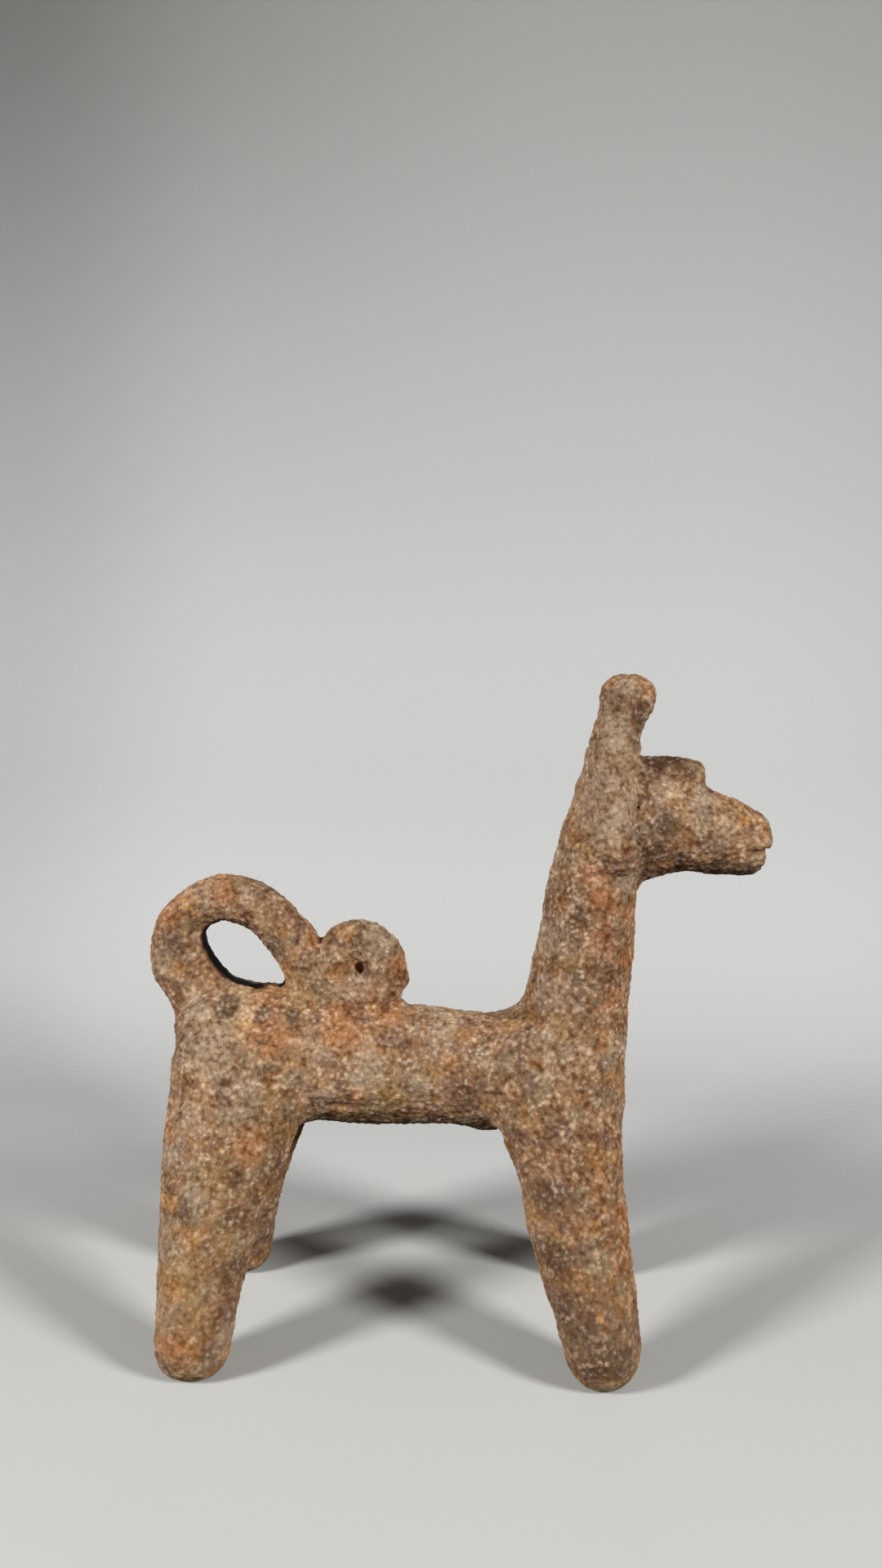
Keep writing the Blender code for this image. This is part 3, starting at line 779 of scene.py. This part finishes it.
class Nodes:
    """Short calls that add the nodes of one material or world and join them."""

    def __init__(self, owner):
        owner.use_nodes = True
        self.tree = owner.node_tree
        self.shader = self.tree.nodes.get("Principled BSDF")

    def add(self, kind, settings=None, **inputs):
        made = self.tree.nodes.new(kind)
        for name, value in (settings or {}).items():
            setattr(made, name, value)
        for name, value in inputs.items():
            self.join(value, made.inputs[name.replace("_", " ")])
        return made

    def join(self, value, socket):
        if isinstance(value, bpy.types.NodeSocket):
            self.tree.links.new(value, socket)
        else:
            socket.default_value = value

    def noise(self, place, size, detail, roughness, seed):
        """Cloudy noise of about this size, mostly near 0.5."""
        made = self.add("ShaderNodeTexNoise", {"noise_dimensions": "4D"}, Vector=place, Scale=1 / size)
        for name, value in (("Detail", detail), ("Roughness", roughness), ("W", seed)):
            made.inputs[name].default_value = value
        return made.outputs["Fac"]

    def cells(self, place, size):
        """Distance from the middle of round cells of about this size."""
        return self.add("ShaderNodeTexVoronoi", Vector=place, Scale=1 / size).outputs["Distance"]

    def bent(self, place, size, amount):
        """The place with its coordinates wandering by this amount, at this size."""
        wander = self.add("ShaderNodeTexNoise", Vector=place, Scale=1 / size, Detail=1.0)
        made = self.add("ShaderNodeVectorMath", {"operation": "MULTIPLY_ADD"})
        self.join(wander.outputs["Color"], made.inputs[0])
        self.join((amount, amount, amount), made.inputs[1])
        self.join(place, made.inputs[2])
        return made.outputs["Vector"]

    def layer(self, name):
        """A number that each point of the mesh carries."""
        return self.add("ShaderNodeAttribute", {"attribute_name": name}).outputs["Fac"]

    def step(self, value, low, high):
        """0 below low, 1 above high and smooth between, or the other way round."""
        limits = {"Value": value, "From_Min": low, "From_Max": high}
        settings = {"interpolation_type": "SMOOTHSTEP"}
        return self.add("ShaderNodeMapRange", settings, **limits).outputs["Result"]

    def ranged(self, value, start, end):
        """From start to end, as noise goes over the middle of its range."""
        low, high = NOISE_MIDDLE
        limits = {"Value": value, "From_Min": low, "From_Max": high, "To_Min": start, "To_Max": end}
        return self.add("ShaderNodeMapRange", **limits).outputs["Result"]

    def math(self, operation, first, second):
        made = self.add("ShaderNodeMath", {"operation": operation})
        self.join(first, made.inputs[0])
        self.join(second, made.inputs[1])
        return made.outputs["Value"]

    def seen(self):
        """1 for the rays that the picture shows, straight or mirrored, and 0 for those of light alone."""
        rays = self.add("ShaderNodeLightPath").outputs
        shown = self.math("ADD", rays["Is Camera Ray"], rays["Is Glossy Ray"])
        return self.math("ADD", shown, rays["Is Transmission Ray"])

    def mix(self, share, first, second, blend="MIX"):
        made = self.add("ShaderNodeMix", {"data_type": "RGBA", "blend_type": blend})
        for value, index in zip((share, first, second), MIX_INPUTS):
            self.join(value, made.inputs[index])
        return made.outputs[MIX_RESULT]

    def scaled(self, value, amount):
        return self.math("MULTIPLY", value, amount)


# Colours of the clay, its stains and its painted shade
BROWN = (0.256, 0.134, 0.067, 1)
TAN = (0.438, 0.250, 0.132, 1)
OCHRE = (0.490, 0.245, 0.078, 1)
PLUM = (0.200, 0.118, 0.092, 1)
OLIVE = (0.300, 0.232, 0.140, 1)
RUST = (0.470, 0.184, 0.066, 1)
GLOW = (0.700, 0.350, 0.105, 1)
GREY = (0.430, 0.330, 0.232, 1)
# Dark stains, also used as painted shade on the brow pad, in the corner of the head and neck and in the
# ear's cup
DARK_STAIN_AND_SHADE = (0.110, 0.064, 0.042, 1)
BEIGE = (0.900, 0.662, 0.450, 1)
PIT_TONE_AND_SHADE = (0.420, 0.275, 0.160, 1)
EARTH = (0.400, 0.225, 0.075, 1)
PALE = (0.560, 0.400, 0.265, 1)
SHADE = (0.660, 0.620, 0.580, 1)
SPOT = (0.150, 0.092, 0.055, 1)
BLOCK = (0.620, 0.275, 0.125, 1)
# Near black painted shade for the inside of the tail's loop and for the undersides
HOLE_UNDERSIDE_SHADE_COLOUR = (0.006, 0.004, 0.003, 1)

# Gloss and fine relief of the clay
CLAY_ROUGHNESS = 0.95
CLAY_SPECULAR = 0.12
CLAY_DIFFUSE_ROUGHNESS = 0.4
BUMP_STRENGTH = 0.9
BUMP_DISTANCE = 0.0006

# Noise in the clay: size, detail, roughness and seed
PATCHES = (0.0060, 5.0, 0.68, 0.0)
SPECKLES = (0.0026, 3.0, 0.65, 1.0)
FINE_SPECKLES = (0.0012, 3.0, 0.70, 2.0)
COARSE_CLOUDS = (0.0120, 2.0, 0.50, 3.0)
HUES = (
    (OCHRE, (0.009, 4.0, 0.60, 4.0)),
    (OLIVE, (0.010, 4.0, 0.60, 5.0)),
    (PLUM, (0.008, 4.0, 0.60, 6.0)),
)
CELL_SIZE = 0.0015
CELL_BEND = (0.0020, 0.0008)

# Where noise turns from one colour to the other, and how strongly
PATCH_EDGE = (0.36, 0.64)
HUE_EDGE = (0.49, 0.61)
HUE_STRENGTH = 0.62
RUST_SPECK_EDGE = (0.54, 0.70)
RUST_SPECK_STRENGTH = 0.28

# How ragged the stains are, from patches and speckles, and the stains themselves: layer, colour, strength,
# share of the raggedness and edge
RAGGED_PATCHES = 1.4
RAGGED_SPECKLES = 1.8
RAGGED_MIDDLE = 1.6
OLD_STAINS = (
    ("grey", GREY, 0.65, 1.0, (0.25, 0.95)),
    ("rust", RUST, 0.62, 1.0, (0.25, 0.95)),
    # The dark stain is partly painted shade
    ("dark", DARK_STAIN_AND_SHADE, 0.70, 1.0, (0.25, 0.95)),
)
GLOW_STAINS = (("glow", GLOW, 0.60, 1.0, (0.40, 1.10)),)
CRISP_STAINS = (
    ("block", BLOCK, 0.55, 0.4, (0.35, 0.75)),
    ("spot", SPOT, 0.80, 0.4, (0.35, 0.75)),
)

# Soft washes of colour: layer, colour, strength and blend. The shade wash is partly painted shade, most of
# all on the far hind leg, and partly darker tone.
WASHES = (
    ("ochre", EARTH, 0.62, "MIX"),
    ("pale", PALE, 0.55, "MIX"),
    ("shade", SHADE, 0.65, "MULTIPLY"),
)

# What makes the tops of the grains, and where these are pale and the pits between them dark. The dark pits
# are partly the clay's own colour and partly painted shade, deepest where the skin's relief sinks. Both are
# weaker in some clouds and on the worn feet.
TOP_FINE = 1.1
TOP_SPECKLES = 0.9
TOP_CELLS = 0.45
TOP_RELIEF = 500.0
WORN_HEIGHTS = (0.090, 0.015)
CRUMB_EDGE = (0.70, 1.18)
CRUMB_CLOUDS = (0.48, 0.90)
CRUMB_WORN = 0.35
PIT_EDGE = (0.76, 0.36)
PIT_CLOUDS = (1.00, 0.80)
PIT_WORN = 0.20


def stained(nodes, colour, ragged, stains):
    """The colour under stains with ragged edges."""
    for layer, tint, strength, raggedness, edge in stains:
        stain = nodes.math("ADD", nodes.layer(layer), nodes.scaled(ragged, raggedness))
        colour = nodes.mix(nodes.scaled(nodes.step(stain, *edge), strength), colour, tint)
    return colour


def clay(name):
    """Coarse fired clay: mottled browns, stains with ragged edges, pale grains and dark pits, with painted
    shade in the loop of the tail, on the undersides, in the pits and in some of the dark stains and washes.
    """
    material = bpy.data.materials.new(name)
    nodes = Nodes(material)
    nodes.shader.inputs["Roughness"].default_value = CLAY_ROUGHNESS
    nodes.shader.inputs["Specular IOR Level"].default_value = CLAY_SPECULAR
    nodes.shader.inputs["Diffuse Roughness"].default_value = CLAY_DIFFUSE_ROUGHNESS
    place = nodes.add("ShaderNodeTexCoord").outputs["Object"]

    patch = nodes.noise(place, *PATCHES)
    speckle = nodes.noise(place, *SPECKLES)
    fine = nodes.noise(place, *FINE_SPECKLES)
    cell = nodes.cells(nodes.bent(place, *CELL_BEND), CELL_SIZE)
    cloud = nodes.noise(place, *COARSE_CLOUDS)

    colour = nodes.mix(nodes.step(patch, *PATCH_EDGE), BROWN, TAN)
    for tint, field in HUES:
        share = nodes.scaled(nodes.step(nodes.noise(place, *field), *HUE_EDGE), HUE_STRENGTH)
        colour = nodes.mix(share, colour, tint)
    ragged = nodes.math(
        "ADD", nodes.scaled(patch, RAGGED_PATCHES), nodes.scaled(speckle, RAGGED_SPECKLES)
    )
    ragged = nodes.math("SUBTRACT", ragged, RAGGED_MIDDLE)
    colour = stained(nodes, colour, ragged, OLD_STAINS)
    share = nodes.scaled(nodes.step(speckle, *RUST_SPECK_EDGE), RUST_SPECK_STRENGTH)
    colour = nodes.mix(share, colour, RUST)
    colour = stained(nodes, colour, ragged, GLOW_STAINS)
    for layer, tint, strength, blend in WASHES:
        colour = nodes.mix(nodes.scaled(nodes.layer(layer), strength), colour, tint, blend)
    colour = stained(nodes, colour, ragged, CRISP_STAINS)

    top = nodes.math("ADD", nodes.scaled(fine, TOP_FINE), nodes.scaled(speckle, TOP_SPECKLES))
    top = nodes.math("SUBTRACT", top, nodes.scaled(cell, TOP_CELLS))
    top = nodes.math("ADD", top, nodes.scaled(nodes.layer("relief"), TOP_RELIEF))
    height = nodes.add("ShaderNodeSeparateXYZ", Vector=place).outputs["Z"]
    worn = nodes.step(height, *WORN_HEIGHTS)
    # Pale grains on the tops, then dark pits between them, partly painted shade where the relief sinks
    for tint, blend, edge, clouds, wear in (
        (BEIGE, "MIX", CRUMB_EDGE, CRUMB_CLOUDS, CRUMB_WORN),
        (PIT_TONE_AND_SHADE, "MULTIPLY", PIT_EDGE, PIT_CLOUDS, PIT_WORN),
    ):
        share = nodes.scaled(nodes.step(top, *edge), nodes.ranged(cloud, *clouds))
        share = nodes.scaled(share, nodes.math("SUBTRACT", 1.0, nodes.scaled(worn, wear)))
        colour = nodes.mix(share, colour, tint, blend)
    # Painted shade: near black inside the tail's loop, weaker on the undersides
    colour = nodes.mix(nodes.layer("painted_hole_underside_shade"), colour, HOLE_UNDERSIDE_SHADE_COLOUR)
    nodes.join(colour, nodes.shader.inputs["Base Color"])

    bump = nodes.add("ShaderNodeBump", Strength=BUMP_STRENGTH, Distance=BUMP_DISTANCE, Height=top)
    nodes.join(bump.outputs["Normal"], nodes.shader.inputs["Normal"])
    return material


# Camera, at the photograph's height, distance and turn
CAMERA_PLACE = (0.01103, -0.34905, 0.1897)
CAMERA_PITCH = math.radians(86.0)
CAMERA_TURN = math.radians(2.55)
CAMERA_LENS = 27.03
CAMERA_SENSOR = 36.0
CAMERA_CLIP = 0.01

# Two soft lamps in front, one on each side, and a weak level one behind for the far side
LAMP_TURN = math.radians(53)
LAMP_RISE = math.radians(27.5)
LAMP_DISTANCE = 1.3
LAMP_SIZE = 0.30
LAMP_POWER = 12.5
LAMP_TARGET = (0, 0, 0.06)
BACK_PLACE = (0, 1, 0)
BACK_POWER = 1.1
BACK_SPREAD = math.radians(8)

# Glow of the sky: how far it is drawn to the sides, its limits in height and depth, and its strengths
SKY_POWER = 4.0
SKY_RISE = (0.6, 0.0)
SKY_HORIZON = (-0.05, 0.02)
SKY_WALL = (0.40, 0.25)
SKY_SIDES = 0.42
SKY_SEEN = 0.60
WHITE = (1, 1, 1, 1)


def look_at(made, target):
    """Turns a lamp to its target."""
    direction = Vector(target) - made.location
    made.rotation_euler = direction.to_track_quat("-Z", "Y").to_euler()


def build_camera():
    data = bpy.data.cameras.new("camera")
    data.lens = CAMERA_LENS
    data.sensor_width = CAMERA_SENSOR
    data.clip_start = CAMERA_CLIP
    made = bpy.data.objects.new("camera", data)
    made.location = CAMERA_PLACE
    made.rotation_euler = (CAMERA_PITCH, 0, CAMERA_TURN)
    bpy.context.scene.collection.objects.link(made)
    bpy.context.scene.camera = made


def build_lamps():
    for side, name in ((-1, "left"), (1, "right")):
        data = bpy.data.lights.new("lamp_" + name, "AREA")
        data.shape = "DISK"
        data.size = LAMP_SIZE
        data.energy = LAMP_POWER
        made = bpy.data.objects.new("lamp_" + name, data)
        out = LAMP_DISTANCE * math.cos(LAMP_RISE)
        made.location = (
            side * out * math.sin(LAMP_TURN),
            -out * math.cos(LAMP_TURN),
            LAMP_DISTANCE * math.sin(LAMP_RISE),
        )
        look_at(made, LAMP_TARGET)
        bpy.context.scene.collection.objects.link(made)
    data = bpy.data.lights.new("lamp_back", "SUN")
    data.energy = BACK_POWER
    data.angle = BACK_SPREAD
    made = bpy.data.objects.new("lamp_back", data)
    made.location = BACK_PLACE
    look_at(made, (0, 0, 0))
    bpy.context.scene.collection.objects.link(made)


def build_sky():
    """A glow from low on both sides, and none from where the wall stands."""
    world = bpy.data.worlds.new("studio")
    nodes = Nodes(world)
    way = nodes.add("ShaderNodeTexCoord").outputs["Generated"]
    across, depth, up = nodes.add("ShaderNodeSeparateXYZ", Vector=way).outputs
    glow = nodes.math("POWER", nodes.math("ABSOLUTE", across, 0.0), SKY_POWER)
    for value, limits in ((up, SKY_RISE), (up, SKY_HORIZON), (depth, SKY_WALL)):
        glow = nodes.scaled(glow, nodes.step(value, *limits))
    glow = nodes.scaled(glow, SKY_SIDES)
    strength = nodes.add("ShaderNodeMapRange", Value=nodes.seen(), To_Min=glow, To_Max=SKY_SEEN)
    background = nodes.tree.nodes["Background"]
    nodes.join(strength.outputs["Result"], background.inputs["Strength"])
    nodes.join(WHITE, background.inputs["Color"])
    bpy.context.scene.world = world


# Sweep of pale paper: a floor that curves up into a wall
SWEEP_HALF_WIDTH = 1.6
SWEEP_FRONT = -1.2
SWEEP_BEND = 0.20
SWEEP_RADIUS = 0.35
SWEEP_TOP = 1.8
SWEEP_STEPS = 24

# Paper: colours, with a painted pool of light behind the dog and painted shade to the top, the corners and
# the sides, and where across, in depth and in height one turns into the next
PAPER_ROUGHNESS = 0.9
PAPER_FRONT = (0.77, 0.77, 0.735, 1)
PAPER_BACK_PAINTED_LIGHT = (0.88, 0.88, 0.86, 1)
PAPER_WALL = (0.74, 0.74, 0.73, 1)
PAPER_TOP_PAINTED_SHADE = (0.455, 0.455, 0.435, 1)
PAPER_CORNER_PAINTED_SHADE = (0.245, 0.245, 0.230, 1)
PAPER_LEFT_PAINTED_SHADE = (0.81, 0.81, 0.81, 1)
PAPER_RIGHT_PAINTED_SHADE = (0.935, 0.935, 0.935, 1)
PAPER_BOUNCE = (0.02, 0.02, 0.02, 1)
CORNER_EDGE = (0.10, -0.40)
BACK_EDGE = (-0.02, 0.14)
WALL_EDGE = (0.00, 0.15)
TOP_EDGE = (0.15, 0.80)
LEFT_EDGE = (-0.17, -0.36)
RIGHT_EDGE = (0.17, 0.36)


def paper():
    """Pale paper with painted light and shade: lightest behind the dog and darkened to the top and the
    sides, most of all on the left.
    """
    material = bpy.data.materials.new("paper")
    nodes = Nodes(material)
    nodes.shader.inputs["Roughness"].default_value = PAPER_ROUGHNESS
    place = nodes.add("ShaderNodeTexCoord").outputs["Object"]
    across, depth, up = nodes.add("ShaderNodeSeparateXYZ", Vector=place).outputs
    # Painted shade to the top and corners, a painted pool of light behind the dog, painted shade to the
    # sides
    top = nodes.mix(nodes.step(across, *CORNER_EDGE), PAPER_TOP_PAINTED_SHADE, PAPER_CORNER_PAINTED_SHADE)
    colour = nodes.mix(nodes.step(depth, *BACK_EDGE), PAPER_FRONT, PAPER_BACK_PAINTED_LIGHT)
    colour = nodes.mix(nodes.step(up, *WALL_EDGE), colour, PAPER_WALL)
    colour = nodes.mix(nodes.step(up, *TOP_EDGE), colour, top)
    colour = nodes.mix(nodes.step(across, *LEFT_EDGE), colour, PAPER_LEFT_PAINTED_SHADE, "MULTIPLY")
    colour = nodes.mix(nodes.step(across, *RIGHT_EDGE), colour, PAPER_RIGHT_PAINTED_SHADE, "MULTIPLY")
    nodes.join(nodes.mix(nodes.seen(), PAPER_BOUNCE, colour), nodes.shader.inputs["Base Color"])
    return material


def build_sweep():
    """The paper that the dog stands on. It casts no shadow, so that the lamp behind reaches the dog."""
    profile = [(SWEEP_FRONT, 0.0)]
    for step in range(SWEEP_STEPS + 1):
        angle = 0.5 * math.pi * step / SWEEP_STEPS
        profile.append(
            (SWEEP_BEND + SWEEP_RADIUS * math.sin(angle), SWEEP_RADIUS * (1 - math.cos(angle)))
        )
    profile.append((SWEEP_BEND + SWEEP_RADIUS, SWEEP_TOP))
    points = [(side * SWEEP_HALF_WIDTH, y, z) for y, z in profile for side in (-1, 1)]
    faces = [(2 * i, 2 * i + 1, 2 * i + 3, 2 * i + 2) for i in range(len(profile) - 1)]
    mesh = bpy.data.meshes.new("sweep")
    mesh.from_pydata(points, [], faces)
    mesh.shade_smooth()
    made = bpy.data.objects.new("sweep", mesh)
    bpy.context.scene.collection.objects.link(made)
    mesh.materials.append(paper())
    made.visible_shadow = False


def main():
    bpy.context.scene.view_settings.view_transform = "Standard"
    build_camera()
    build_lamps()
    build_sky()
    build_sweep()
    finish = {slot: clay(slot) for slot in sorted(set(SLOTS.values()))}
    for name, piece in build_pieces().items():
        piece.data.materials.append(finish[SLOTS[name]])
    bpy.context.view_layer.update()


main()
